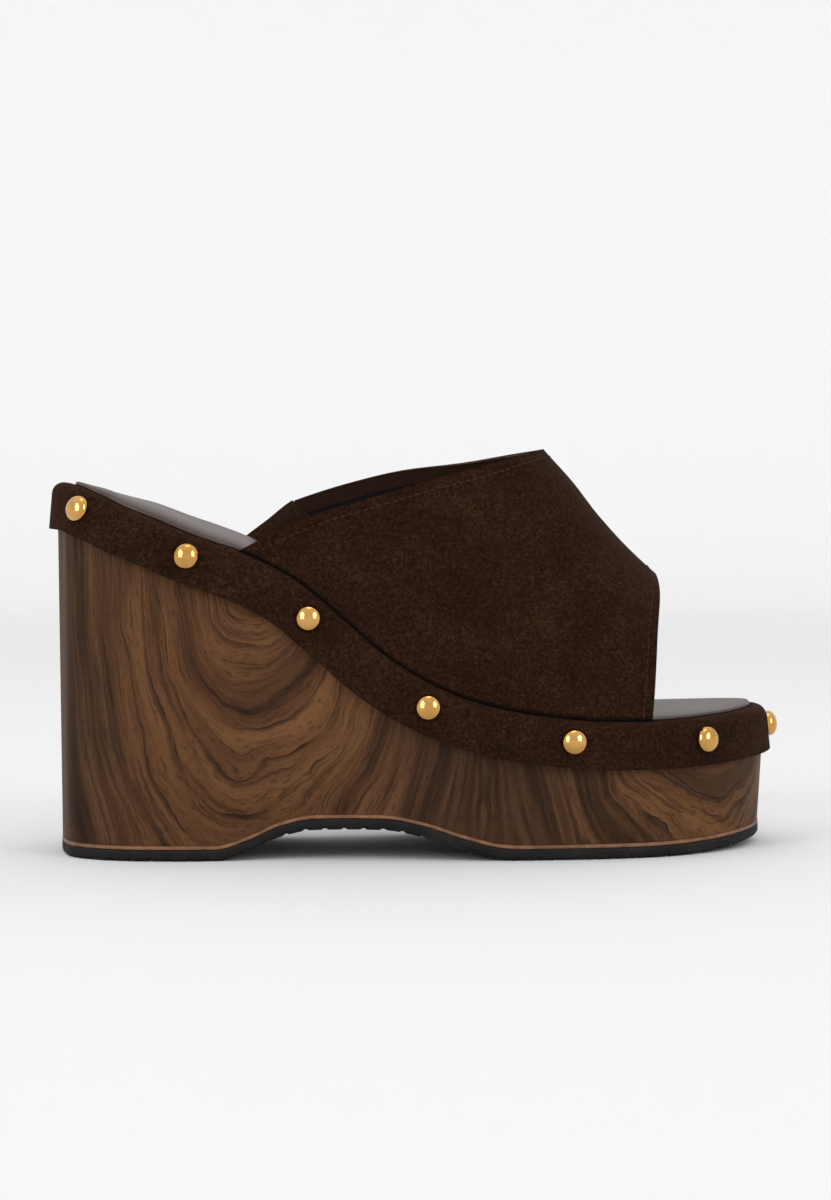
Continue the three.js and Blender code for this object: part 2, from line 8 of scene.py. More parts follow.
import bmesh
import bpy
import numpy as np
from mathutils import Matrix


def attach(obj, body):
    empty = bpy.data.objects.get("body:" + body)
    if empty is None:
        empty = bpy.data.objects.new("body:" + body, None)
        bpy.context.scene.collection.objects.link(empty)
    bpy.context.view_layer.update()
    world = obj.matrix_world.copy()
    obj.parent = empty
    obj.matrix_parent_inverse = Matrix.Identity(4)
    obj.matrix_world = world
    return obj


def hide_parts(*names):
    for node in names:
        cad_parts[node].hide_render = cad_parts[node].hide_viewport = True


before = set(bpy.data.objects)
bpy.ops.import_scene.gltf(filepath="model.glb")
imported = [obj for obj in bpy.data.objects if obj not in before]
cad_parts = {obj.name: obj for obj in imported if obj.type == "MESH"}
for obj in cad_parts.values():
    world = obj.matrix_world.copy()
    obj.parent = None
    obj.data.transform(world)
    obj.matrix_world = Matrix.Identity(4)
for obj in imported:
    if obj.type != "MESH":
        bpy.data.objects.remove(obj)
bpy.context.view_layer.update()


# Footbed slab. Board and foam wrapped in dark brown suede, which rolls over the top edge and is tucked in
# under the slab. Its outline and the fall of its top give every other piece its place.
SHOE_LENGTH = 233.8
HEEL_WIDTH = 67.0
BALL_WIDTH = 88.0
HEEL_ROUND = 34.0
TOE_ROUND = 52.0
TOE_SWING = 4.0
HEEL_HEIGHT = 118.9
PLATFORM_HEIGHT = 43.0
WAIST_TWIST = 7.5
TOE_SPRING = 3.0
SLAB_THICKNESS = 14.9
HEEL_END_THICKNESS = 15.4
SLAB_EDGE_ROUND = 4.0
SLAB_LOWER_ROUND = 0.9
SLAB_FOOT_INSET = 5.0
SLAB_TOP_INSET = 6.5
HEEL_WALL_LEAN = 0.5
ORIGIN = (-118.612, 0.745, 0.0)
LATERAL, MEDIAL = -1, 1
OUTLINE = {
    "at": (0, .072, .14, .205, .29, .376, .482, .546, .632, .717, .803, .888, .953, 1),
    "lateral": (.455, .476, .492, .524, .526, .536, .533, .523, .510, .508, .490, .466, .447, .420),
    "medial": (.452, .474, .469, .473, .472, .466, .443, .446, .469, .492, .479, .466, .440, .412),
}
FOOTBED = {
    "at": (0, .025, .065, .098, .140, .183, .260, .320, .380, .440, .504, .568, .654, .748, .846, 1),
    "rise": (1, .986, .933, .895, .854, .802, .722, .633, .486, .326, .194, .100, .036, .004, 0, 0),
    "twist": (0, 0, 0, .25, .5, .61, .76, .9, .97, 1, .8, .45, .19, .05, 0, 0),
}


def curve(table, column, key="at"):
    """Smooth curve through one column of a table, against another column."""
    places = np.array(table[key], float)
    values = np.array(table[column], float)
    rise = np.diff(values) / np.diff(places)
    slopes = np.concatenate([rise[:1], np.zeros(len(rise) - 1), rise[-1:]])
    climbing = rise[:-1] * rise[1:] > 0
    mean = 2 * rise[:-1] * rise[1:] / np.where(climbing, rise[:-1] + rise[1:], 1)
    slopes[1:-1] = np.where(climbing, mean, 0)

    def value(at):
        at = np.clip(at, places[0], places[-1])
        i = np.clip(np.searchsorted(places, at) - 1, 0, len(places) - 2)
        step = places[i + 1] - places[i]
        t = (at - places[i]) / step
        fall = (1 + 2 * t) * (1 - t) ** 2
        bend = step * t * (1 - t) * (slopes[i] * (1 - t) - slopes[i + 1] * t)
        return values[i] * fall + values[i + 1] * (1 - fall) + bend

    return value


lateral_share = curve(OUTLINE, "lateral")
medial_share = curve(OUTLINE, "medial")
bed_rise = curve(FOOTBED, "rise")
bed_twist = curve(FOOTBED, "twist")


def smoothstep(value, low, high):
    t = np.clip((value - low) / (high - low), 0, 1)
    return t * t * (3 - 2 * t)


def round_end(distance, length):
    left = 1 - np.clip(distance / length, 0, 1)
    return np.sqrt(1 - left * left)


def growth(at, start):
    return (np.maximum(at - start, 0) / (1 - start)) ** 2


def centre_line(x):
    return TOE_SWING * growth(x / SHOE_LENGTH, 0.65)


def half_width(x, side):
    at = x / SHOE_LENGTH
    width = HEEL_WIDTH + (BALL_WIDTH - HEEL_WIDTH) * smoothstep(at, 0.33, 0.66)
    share = np.where(np.asarray(side) < 0, lateral_share(at), medial_share(at))
    return width * share * round_end(x, HEEL_ROUND) * round_end(SHOE_LENGTH - x, TOE_ROUND)


def bank_at(x, y):
    lateral = half_width(x, LATERAL)
    width = lateral + half_width(x, MEDIAL)
    return np.where(width < 1e-6, 0, 2 * (y - centre_line(x) + lateral) / np.maximum(width, 1e-6) - 1)


def bed_height(x, bank):
    at = np.clip(x / SHOE_LENGTH, 0, 1)
    fall = (HEEL_HEIGHT - PLATFORM_HEIGHT) * bed_rise(at)
    return PLATFORM_HEIGHT + fall + bank * WAIST_TWIST * bed_twist(at) / 2 + TOE_SPRING * growth(at, 0.78)


def bed_slope(x, bank):
    step = SHOE_LENGTH / 400
    before = np.maximum(x - step, 0)
    after = np.minimum(x + step, SHOE_LENGTH)
    return np.arctan2(bed_height(before, bank) - bed_height(after, bank), after - before)


def drop_back(x, bank, drop):
    """Run back and down of a drop square to the slab's top; the heel's wall leans less."""
    slope = bed_slope(x, bank)
    lean = slope * (HEEL_WALL_LEAN + (1 - HEEL_WALL_LEAN) * smoothstep(x, 0, HEEL_ROUND))
    run = drop / np.cos(slope - lean)
    return run * np.sin(lean), run * np.cos(lean)


def edge_point(station, side, inset):
    """Plan point of the slab's edge at stations from 0, the back, to 1, the toe, moved in by an inset."""
    station = np.asarray(station, float)

    def place(s):
        x = SHOE_LENGTH * (1 - np.cos(np.pi * s)) / 2
        return x, centre_line(x) + side * half_width(x, side)

    x, y = place(station)
    ahead = place(np.minimum(station + 1e-3, 1))
    behind = place(np.maximum(station - 1e-3, 0))
    run_x, run_y = ahead[0] - behind[0], ahead[1] - behind[1]
    length = np.hypot(run_x, run_y)
    x = x + side * run_y / length * inset
    y = y - side * run_x / length * inset
    tip = (station <= 0) | (station >= 1)
    tip_x = np.where(station <= 0, inset, SHOE_LENGTH - inset)
    return np.where(tip, tip_x, x), np.where(tip, centre_line(tip_x), y)


def slab_point(station, side, inset, drop):
    """Point in the slab: moved in from its edge and down from its top, square to the top."""
    x, y = edge_point(station, side, inset)
    station = np.asarray(station, float)
    bank = np.where((station <= 0) | (station >= 1), 0, bank_at(x, y))
    back, down = drop_back(x, bank, drop)
    return np.stack([x - back, y, bed_height(x, bank) - down], axis=-1)


def slab_foot(station, side, inset, drop):
    """Point near the slab's underside."""
    x = edge_point(station, side, inset)[0]
    share = smoothstep(x, 0, HEEL_ROUND / 2)
    thickness = HEEL_END_THICKNESS + (SLAB_THICKNESS - HEEL_END_THICKNESS) * share
    return slab_point(station, side, inset, thickness + drop)


def ring(stations, point):
    """Closed ring: the lateral side from back to toe, then the medial side back again."""
    return np.vstack([point(stations, LATERAL), point(stations[-2:0:-1], MEDIAL)])


def make_piece(name, points, faces, sharp=40):
    """Mesh object from points in millimetres, smooth up to an angle."""
    mesh = bpy.data.meshes.new(name)
    mesh.from_pydata(((np.asarray(points) + ORIGIN) / 1000).tolist(), [], faces)
    mesh.validate()
    mesh.shade_smooth()
    mesh.set_sharp_from_angle(angle=math.radians(sharp))
    piece = bpy.data.objects.new(name, mesh)
    bpy.context.collection.objects.link(piece)
    return piece


def stacked_solid(name, rings, columns=(0.5,), lift=None, sharp=40):
    """Solid with sides through rings from the lowest to the highest, and a grid for its top."""
    count = len(rings[0])
    half = count // 2
    points = [np.vstack(rings)]
    total = count * len(rings)
    faces = []
    for k in range(len(rings) - 1):
        for i in range(count):
            a, b = k * count + i, k * count + (i + 1) % count
            faces.append((a, b, b + count, a + count))
    for level, upward in ((0, False), (len(rings) - 1, True)):
        edge = rings[level]
        first = level * count
        shares = np.array(columns)
        rows = [[first] * (len(shares) + 2)]
        for i in range(1, half):
            lateral, medial = edge[i], edge[count - i]
            inner = lateral + (medial - lateral) * shares[:, None]
            if upward and lift:
                reach = np.linalg.norm(medial - lateral) * np.minimum(shares, 1 - shares)
                inner = inner + np.stack([0 * reach, 0 * reach, lift(inner, reach)], axis=-1)
            points.append(inner)
            rows.append([first + i, *range(total, total + len(shares)), first + count - i])
            total += len(shares)
        rows.append([first + half] * (len(shares) + 2))
        for i in range(half):
            for j in range(len(shares) + 1):
                quad = [rows[i][j], rows[i + 1][j], rows[i + 1][j + 1], rows[i][j + 1]]
                quad = list(dict.fromkeys(quad))
                if len(quad) > 2:
                    faces.append(quad if upward else quad[::-1])
    return make_piece(name, np.vstack(points), faces, sharp)


def quarter_round(radius, steps):
    turns = np.linspace(0, math.pi / 2, steps + 1)
    return [(radius * (1 - math.cos(t)), radius * (1 - math.sin(t))) for t in turns]


def srgb(red, green, blue):
    parts = [value / 255 for value in (red, green, blue)]
    return tuple(p / 12.92 if p <= 0.04045 else ((p + 0.055) / 1.055) ** 2.4 for p in parts) + (1.0,)


def new_material(name, **values):
    """Material with its shader's own values set, and the shader to wire patterns to."""
    material = bpy.data.materials.new(name)
    material.use_nodes = True
    shader = material.node_tree.nodes["Principled BSDF"]
    for key, value in values.items():
        shader.inputs[key.replace("_", " ")].default_value = value
    return material, material.node_tree, shader


def add(tree, kind, inputs=None, **settings):
    node = tree.nodes.new(kind)
    for key, value in settings.items():
        setattr(node, key, value)
    for key, value in (inputs or {}).items():
        if isinstance(value, bpy.types.NodeSocket):
            tree.links.new(value, node.inputs[key])
        else:
            node.inputs[key].default_value = value
    return node


def calc(tree, operation, *terms):
    node = add(tree, "ShaderNodeMath", dict(enumerate(terms)), operation=operation)
    return node.outputs[0]


def noise(tree, vector, scale, detail=2.0, roughness=0.5, distortion=0.0):
    inputs = {"Vector": vector, "Scale": scale, "Detail": detail, "Roughness": roughness,
              "Distortion": distortion}
    return add(tree, "ShaderNodeTexNoise", inputs).outputs["Fac"]


def ramp(tree, value, stops):
    node = add(tree, "ShaderNodeValToRGB", {"Fac": value})
    elements = node.color_ramp.elements
    while len(elements) < len(stops):
        elements.new(0.5)
    for element, (place, colour) in zip(elements, stops):
        element.position = place
        element.color = colour if isinstance(colour, tuple) else (colour, colour, colour, 1)
    return node.outputs["Color"]


def tint(tree, factor, under, over):
    inputs = {0: factor, 6: under, 7: over}
    return add(tree, "ShaderNodeMix", inputs, data_type="RGBA", blend_type="MIX").outputs[2]


def bump(tree, height, distance, strength=1.0, under=None):
    inputs = {"Height": height, "Distance": distance, "Strength": strength}
    if under:
        inputs["Normal"] = under
    return add(tree, "ShaderNodeBump", inputs).outputs["Normal"]


def object_place(tree):
    return add(tree, "ShaderNodeTexCoord").outputs["Object"]


def suede_finish(name, deep, body, light, crease_shade=0.0):
    """Brushed suede: a fine nap in tufts, a little darker and lighter where it was stroked, and painted shade
    that darkens the crease at its foot."""
    material, tree, shader = new_material(name, Roughness=0.95, Specular_IOR_Level=0.04, Sheen_Weight=0.05,
                                          Sheen_Roughness=0.4, Sheen_Tint=srgb(196, 156, 130))
    place = object_place(tree)
    fibres = noise(tree, place, 3000, 2, 0.6)
    tufts = noise(tree, place, 1000, 3, 0.6, 0.4)
    strokes = noise(tree, place, 60, 3, 0.5, 0.6)
    mixed = calc(tree, "ADD", calc(tree, "MULTIPLY", fibres, 0.42), calc(tree, "MULTIPLY", tufts, 0.46))
    mixed = calc(tree, "ADD", mixed, calc(tree, "MULTIPLY", strokes, 0.16))
    colour = ramp(tree, mixed, [(0.40, deep), (0.52, body), (0.66, light)])
    # Painted shade: near the foot of the piece, where it meets the slab, the colour darkens to near black.
    if crease_shade:
        above = add(tree, "ShaderNodeUVMap", uv_map="edge").outputs[0]
        above = add(tree, "ShaderNodeSeparateXYZ", {0: above}).outputs[1]
        unshaded = add(tree, "ShaderNodeMapRange", {"Value": above, "From Min": 0.0004, "From Max": crease_shade},
                    interpolation_type="SMOOTHSTEP").outputs[0]
        colour = tint(tree, unshaded, srgb(9, 6, 4), colour)
    tree.links.new(colour, shader.inputs["Base Color"])
    normal = bump(tree, tufts, 0.0003, 0.5)
    tree.links.new(bump(tree, fibres, 0.0002, 0.6, normal), shader.inputs["Normal"])
    return material


suede = suede_finish("suede", srgb(21, 11, 6), srgb(37, 21, 12), srgb(64, 41, 27))


def finish(piece, body_material, node_names):
    piece.data.materials.append(body_material)
    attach(piece, "root")
    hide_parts(*node_names)


SLAB_STATIONS = np.linspace(0, 1, 261)
slab_rings = [ring(SLAB_STATIONS, lambda s, side, i=i, d=d: slab_foot(s, side, i, -d))
              for i, d in [(SLAB_FOOT_INSET, 0.0)] + [(a, SLAB_LOWER_ROUND - b) for a, b in
                                          quarter_round(SLAB_LOWER_ROUND, 4)[::-1]]]
slab_rings += [ring(SLAB_STATIONS, lambda s, side, d=d: slab_point(s, side, 0, d))
               for d in np.linspace(SLAB_THICKNESS - 2.5, SLAB_EDGE_ROUND + 1, 6)]
slab_rings += [ring(SLAB_STATIONS, lambda s, side, i=i, d=d: slab_point(s, side, i, d))
               for i, d in quarter_round(SLAB_EDGE_ROUND, 9) + [(SLAB_TOP_INSET, 0.0)]]
slab = stacked_solid("suede_slab", slab_rings, (0.25, 0.5, 0.75))
finish(slab, suede, ["rand"])


# Wedge. A light moulded core wrapped in a wood-grain print, cut out under the waist and a little wider at
# the top, where the slab overhangs it.
SLAB_OVERHANG = 2.8
WEDGE_TAPER = 1.3
OUTSOLE_THICKNESS = 3.65
LAYER_THICKNESS = 1.25
ARCH_HEIGHT = 11.9
ARCH = {
    "at": (0, .217, .260, .303, .346, .397, .440, .491, .547, .598, .624, 1),
    "lateral": (0, 0, .24, .61, .79, .81, .80, .62, .27, .03, 0, 0),
    "medial": (0, 0, .11, .47, .84, .98, 1, .80, .34, .04, 0, 0),
}
lateral_arch = curve(ARCH, "lateral")
medial_arch = curve(ARCH, "medial")


def ground_height(x, side):
    at = np.clip(x / SHOE_LENGTH, 0, 1)
    arch = np.where(np.asarray(side) < 0, lateral_arch(at), medial_arch(at))
    return ARCH_HEIGHT * arch + TOE_SPRING * growth(at, 0.78)


def sole_point(station, side, inset, rise):
    """Point under the wedge: in from the slab's edge, and up from the underside of the sole."""
    x, y = edge_point(station, side, SLAB_OVERHANG + WEDGE_TAPER + inset)
    x = x - drop_back(x, 0, SLAB_THICKNESS)[0]
    return np.stack([x, y, ground_height(x, side) + rise], axis=-1)


BOWL_CENTRES = {LATERAL: (80.0, 230.0), MEDIAL: (-80.0, 117.0)}
BOWL_TOP = 0.0947
BOWL_DEPTH = 2.05


def grain_print():
    """Printed wood grain: upright streaks round the heel, which bend into nested bowls of rings."""
    material, tree, shader = new_material("wood_grain_print", Specular_IOR_Level=0.06)
    place = object_place(tree)
    x, y, z = add(tree, "ShaderNodeSeparateXYZ", {0: place}).outputs
    side = calc(tree, "ADD", x, y)
    wrap = add(tree, "ShaderNodeUVMap", uv_map="wrap").outputs[0]
    across = add(tree, "ShaderNodeSeparateXYZ", {0: wrap}).outputs[0]
    below = calc(tree, "MAXIMUM", calc(tree, "SUBTRACT", BOWL_TOP, z), 0.0)
    below = calc(tree, "DIVIDE", below, BOWL_DEPTH)
    bowl = calc(tree, "ADD", calc(tree, "POWER", across, 2.5), calc(tree, "POWER", below, 2.5))
    bowl = calc(tree, "POWER", bowl, 0.4)
    upright = add(tree, "ShaderNodeMapRange", {"Value": across, "From Min": 0.056, "From Max": 0.078},
                  interpolation_type="SMOOTHSTEP").outputs[0]
    rings = add(tree, "ShaderNodeMix", {0: upright, 2: bowl, 3: across}, data_type="FLOAT").outputs[0]
    heel = add(tree, "ShaderNodeMapRange", {"Value": across, "From Min": 0.030, "From Max": 0.058},
               interpolation_type="SMOOTHSTEP").outputs[0]
    loose = calc(tree, "MULTIPLY_ADD", heel, -0.6, 1.0)
    for scale, reach in ((19, 0.013), (62, 0.0032), (240, 0.0009)):
        wander = calc(tree, "SUBTRACT", noise(tree, place, scale, 1), 0.5)
        rings = calc(tree, "MULTIPLY_ADD", calc(tree, "MULTIPLY", wander, loose), reach, rings)

    def streaks(fine, long_scale, detail, roughness=0.55):
        vector = add(tree, "ShaderNodeCombineXYZ", {0: calc(tree, "MULTIPLY", rings, fine),
                                                    1: calc(tree, "MULTIPLY", z, long_scale),
                                                    2: calc(tree, "MULTIPLY", side, long_scale)}).outputs[0]
        return noise(tree, vector, 1.0, detail, roughness)

    bands = streaks(200, 9, 3)
    lines = streaks(1000, 26, 3)
    pores = streaks(3300, 330, 1)
    breaks = streaks(230, 48, 2)
    plain = ramp(tree, bands, [(0.30, srgb(64, 41, 25)), (0.48, srgb(89, 59, 36)), (0.70, srgb(111, 76, 47))])
    dark = ramp(tree, bands, [(0.32, srgb(42, 27, 18)), (0.50, srgb(64, 42, 27)), (0.68, srgb(84, 58, 39))])
    colour = tint(tree, heel, plain, dark)
    turn = calc(tree, "MULTIPLY_ADD", bands, 2.4, calc(tree, "MULTIPLY", rings, 185.0))
    late_wood = ramp(tree, calc(tree, "FRACT", turn), [(0.0, 1.0), (0.04, 0.7), (0.12, 0.3), (0.38, 0.0),
                                                       (0.955, 0.0), (0.985, 1.0)])
    broken = ramp(tree, breaks, [(0.36, 0.12), (0.56, 0.95)])
    calm = calc(tree, "MULTIPLY_ADD", heel, -0.5, 1.0)
    late_wood = calc(tree, "MULTIPLY", calc(tree, "MULTIPLY", late_wood, broken), calm)
    colour = tint(tree, late_wood, colour, srgb(30, 20, 14))
    colour = tint(tree, ramp(tree, lines, [(0.36, 0.62), (0.47, 0.0)]), colour, srgb(40, 27, 19))
    colour = tint(tree, ramp(tree, lines, [(0.56, 0.0), (0.72, 0.3)]), colour, srgb(116, 82, 54))
    colour = tint(tree, ramp(tree, pores, [(0.33, 0.45), (0.44, 0.0)]), colour, srgb(34, 23, 16))
    tree.links.new(colour, shader.inputs["Base Color"])
    gloss = calc(tree, "MULTIPLY_ADD", noise(tree, place, 900, 2), 0.1, 0.46)
    tree.links.new(gloss, shader.inputs["Roughness"])
    film = bump(tree, noise(tree, place, 420, 2), 0.00006, 0.5)
    tree.links.new(bump(tree, lines, 0.00004, 0.5, film), shader.inputs["Normal"])
    return material


def wrap_distance(edge):
    """Distance in metres round a ring from each of its points to the nearest centre of the bowls."""
    half = len(edge) // 2
    sides = {LATERAL: edge[:half + 1], MEDIAL: np.roll(edge, -1, axis=0)[:half - 2:-1]}
    runs = {side: np.concatenate([[0], np.cumsum(np.linalg.norm(np.diff(line, axis=0), axis=1))])
            for side, line in sides.items()}
    front = runs[MEDIAL][-1] - runs[LATERAL][-1] + BOWL_CENTRES[LATERAL][-1]
    centres = {LATERAL: BOWL_CENTRES[LATERAL], MEDIAL: BOWL_CENTRES[MEDIAL] + (front,)}
    gaps = {side: np.min([np.abs(run - centre) for centre in centres[side]], axis=0) / 1000
            for side, run in runs.items()}
    return np.concatenate([gaps[LATERAL], gaps[MEDIAL][-2:0:-1]])


WEDGE_STATIONS = np.linspace(0, 1, 261)
WEDGE_LEVELS = 25
wedge_low = ring(WEDGE_STATIONS,
                 lambda s, side: sole_point(s, side, 0, OUTSOLE_THICKNESS + LAYER_THICKNESS + 0.1))
wedge_high = ring(WEDGE_STATIONS, lambda s, side: slab_foot(s, side, SLAB_OVERHANG, 0.05))
wedge = stacked_solid("wood_grain_wedge", [wedge_low + (wedge_high - wedge_low) * t
                                           for t in np.linspace(0, 1, WEDGE_LEVELS)], (0.25, 0.5, 0.75))
around = wrap_distance((wedge_low + wedge_high) / 2)
inner = np.repeat(around[1:len(WEDGE_STATIONS) - 1], 3)
distance = np.concatenate([np.tile(around, WEDGE_LEVELS), inner, inner])
corners = np.empty(len(wedge.data.loops), np.int32)
wedge.data.loops.foreach_get("vertex_index", corners)
heights = np.array([vertex.co.z for vertex in wedge.data.vertices])
wedge.data.uv_layers.new(name="wrap").data.foreach_set(
    "uv", np.column_stack([distance[corners], heights[corners]]).ravel())
finish(wedge, grain_print(), ["wedge"])


# Edge layer. A thin tan board between wedge and outsole, which shows as a fine light line round the shoe.
def board_edge():
    material, tree, shader = new_material("tan_board", Roughness=0.5)
    place = object_place(tree)
    colour = ramp(tree, noise(tree, place, 260, 3), [(0.35, srgb(98, 62, 36)), (0.65, srgb(134, 88, 54))])
    tree.links.new(colour, shader.inputs["Base Color"])
    tree.links.new(bump(tree, noise(tree, place, 1500, 2), 0.0001, 0.5), shader.inputs["Normal"])
    return material


SOLE_LIP = 0.25
layer_rings = [ring(WEDGE_STATIONS, lambda s, side, i=i, d=d: sole_point(s, side, i - SOLE_LIP,
                                                                       OUTSOLE_THICKNESS + d))
               for i, d in ((0.3, 0.04), (0.05, 0.2), (0.0, 0.6), (0.05, 1.05), (0.3, LAYER_THICKNESS))]
layer = stacked_solid("tan_edge_layer", layer_rings)
finish(layer, board_edge(), ["edge_layer"])


# Outsole. Moulded black rubber with a round lower edge, and straight ribs across its underside that run
# out through the edge as a fine wave.
OUTSOLE_EDGE_ROUND = 1.6
RIB_PITCH = 6.0
RIB_GROOVE = 2.0
RIB_DEPTH = 0.6
RIB_MARGIN = 9.0


def rubber_finish():
    material, tree, shader = new_material("black_rubber", Specular_IOR_Level=0.12)
    place = object_place(tree)
    dust = noise(tree, place, 90, 4, 0.6)
    colour = ramp(tree, dust, [(0.35, srgb(22, 20, 18)), (0.6, srgb(31, 28, 26)), (0.8, srgb(46, 42, 38))])
    tree.links.new(colour, shader.inputs["Base Color"])
    tree.links.new(calc(tree, "MULTIPLY_ADD", dust, 0.2, 0.55), shader.inputs["Roughness"])
    tree.links.new(bump(tree, noise(tree, place, 1700, 2), 0.00012, 0.5), shader.inputs["Normal"])
    return material


sole_back = float(sole_point(0.0, LATERAL, 0, 0)[0])
sole_front = float(sole_point(1.0, LATERAL, 0, 0)[0])
rib_count = math.floor((sole_front - sole_back - 2 * RIB_MARGIN) / RIB_PITCH)


def rib_groove(x):
    along = x - sole_back - RIB_MARGIN
    inside = (along > 0) & (along < (rib_count - 1) * RIB_PITCH + RIB_GROOVE)
    phase = np.mod(along, RIB_PITCH) / RIB_GROOVE
    return np.where(inside & (phase < 1), RIB_DEPTH * np.sin(np.pi * np.clip(phase, 0, 1)), 0)


SOLE_STATIONS = np.linspace(0, 1, 701)


def sole_ring(inset, rise, share):
    def point(s, side):
        place = sole_point(s, side, inset - SOLE_LIP, rise)
        place[..., 2] += share * rib_groove(place[..., 0])
        return place
    return ring(SOLE_STATIONS, point)


sole_rings = [sole_ring(inset, drop, 1 - k / 7) for k, (inset, drop) in
              enumerate(quarter_round(OUTSOLE_EDGE_ROUND, 5)[::-1])]
sole_rings.insert(0, sole_ring(OUTSOLE_EDGE_ROUND + 1.5, 0, 1))
sole_rings += [sole_ring(0, 2.6, 0), sole_ring(0.0, OUTSOLE_THICKNESS - 0.25, 0),
               sole_ring(0.25, OUTSOLE_THICKNESS, 0)]
outsole = stacked_solid("rubber_outsole", sole_rings, (0.2, 0.5, 0.8), sharp=50)
finish(outsole, rubber_finish(), ["outsole"])


# Insole. Smooth satin leather over foam, thick and round-edged at the heel and thin under the vamp. It is
# glued to the slab a little inside its edge.
INSOLE_INSET = 3.2
INSOLE_EDGE = 0.8
HEEL_PAD_THICKNESS = 3.5
PAD_SHOULDER = 12.0
VAMP_INSET = 3.0
VAMP_WALL = 1.8
CLEARANCE = 0.3
HEEL_PAD = {
    "at": (0, .03, .05, .065, .08, .104, .17, .217, .243, .337, 1),
    "full": (.30, .40, .56, .72, .82, .84, .84, .74, .68, .43, .43),
    "drawn": (2, 1.2, .6, .4, .2, 0, 0, 0, 1, 1, 1),
}
pad_share = curve(HEEL_PAD, "full")
drawn_share = curve(HEEL_PAD, "drawn")


def leather_finish():
    material, tree, shader = new_material("insole_leather", Specular_IOR_Level=0.5)
    place = object_place(tree)
    cells = add(tree, "ShaderNodeTexVoronoi", {"Vector": place, "Scale": 1250.0},
                feature="SMOOTH_F1").outputs["Distance"]
    tone = noise(tree, place, 45, 3, 0.5)
    colour = ramp(tree, tone, [(0.3, srgb(50, 33, 26)), (0.7, srgb(60, 41, 33))])
    tree.links.new(colour, shader.inputs["Base Color"])
    tree.links.new(calc(tree, "MULTIPLY_ADD", tone, 0.06, 0.42), shader.inputs["Roughness"])
    normal = bump(tree, cells, 0.00007, 0.5)
    tree.links.new(bump(tree, noise(tree, place, 220, 2), 0.00005, 0.35, normal), shader.inputs["Normal"])
    return material


def insole_inset(station):
    drawn = VAMP_INSET + VAMP_WALL + CLEARANCE - INSOLE_INSET
    return INSOLE_INSET + drawn * drawn_share((1 - np.cos(np.pi * np.asarray(station, float))) / 2)


pad_back = float(insole_inset(0.0))


def pad_lift(points, reach):
    x = points[:, 0]
    inward = np.minimum(reach, np.maximum(x - pad_back, 0))
    crown = HEEL_PAD_THICKNESS * pad_share(x / SHOE_LENGTH) - INSOLE_EDGE
    return crown * round_end(inward, PAD_SHOULDER)


insole_rings = [ring(SLAB_STATIONS, lambda s, side, i=i, r=r: slab_point(s, side, insole_inset(s) + i, -r))
                for i, r in ((0.25, 0.06), (0.06, 0.25), (0.0, 0.5), (0.06, 0.8), (0.25, 1.0))]
pad_columns = (1 - np.cos(np.linspace(0, math.pi, 61)[1:-1])) / 2
insole = stacked_solid("leather_insole", insole_rings, pad_columns, pad_lift, sharp=60)
finish(insole, leather_finish(), ["insole"])


# Vamp. One wide piece of stiffened suede, lasted over the instep and tucked in between slab and insole.
# It is lined in grey-brown, and open at the throat and at the toe.
VAMP_PEAK_RISE = 87.0
QUARTER = 90.0
RIDGE = {
    "at": (.256, .466, .676, .716, .754, .803, .855, .921),
    "rise": (2.37, 1.68, 1.0, .882, .752, .612, .495, .400),
}
LATERAL_TOPLINE = {
    "turn": (0, 2.1, 5.3, 9.7, 15.4, 21.8, 28.6, 39.5, 49.0, 63.4, 90),
    "at": (.248, .270, .304, .342, .386, .436, .482, .556, .602, .647, .678),
}
MEDIAL_TOPLINE = {
    "turn": (9.0, 13.6, 17.6, 22.0, 28.8, 40.0, 49.3, 63.4, 90),
    "at": (.337, .373, .403, .436, .482, .556, .602, .647, .678),
}
GORE_SEAM = {"turn": (0, 3.7, 9.0), "at": (.414, .373, .337)}
FRONT_EDGE = {"turn": (0, 30, 60, 90), "at": (.800, .812, .829, .837)}
ridge_rise = curve(RIDGE, "rise")
lateral_topline = curve(LATERAL_TOPLINE, "at", "turn")
medial_topline = curve(MEDIAL_TOPLINE, "at", "turn")
gore_seam = curve(GORE_SEAM, "at", "turn")
front_edge = curve(FRONT_EDGE, "at", "turn")
corner_turn = 2 * QUARTER - MEDIAL_TOPLINE["turn"][0]
TOPLINE_SOFTNESS = 8.0
VAMP_SEAT = 0.04


def last_place(x, turn):
    """Surface of the last: a turn of 0 stands on the lateral side, 90 is the ridge, 180 the medial side."""
    angle = np.radians(turn)
    side = np.where(np.asarray(turn) < QUARTER, LATERAL, MEDIAL)
    y = centre_line(x) - (half_width(x, side) - VAMP_INSET) * np.cos(angle)
    base = bed_height(x, bank_at(x, y)) + VAMP_SEAT
    ridge = PLATFORM_HEIGHT + VAMP_PEAK_RISE * ridge_rise(x / SHOE_LENGTH)
    return np.stack([x + 0 * angle, y, base + (ridge - bed_height(x, 0)) * np.sin(angle)], axis=-1)


def last_normal(x, turn):
    forward = last_place(x + 0.5, turn) - last_place(x - 0.5, turn)
    upward = last_place(x, np.minimum(turn + 0.2, 180)) - last_place(x, np.maximum(turn - 0.2, 0))
    outward = np.cross(forward, upward)
    return outward / np.linalg.norm(outward, axis=-1, keepdims=True)


def last_point(x, turn, depth=0.0):
    return last_place(x, turn) - np.asarray(depth)[..., None] * last_normal(x, turn)


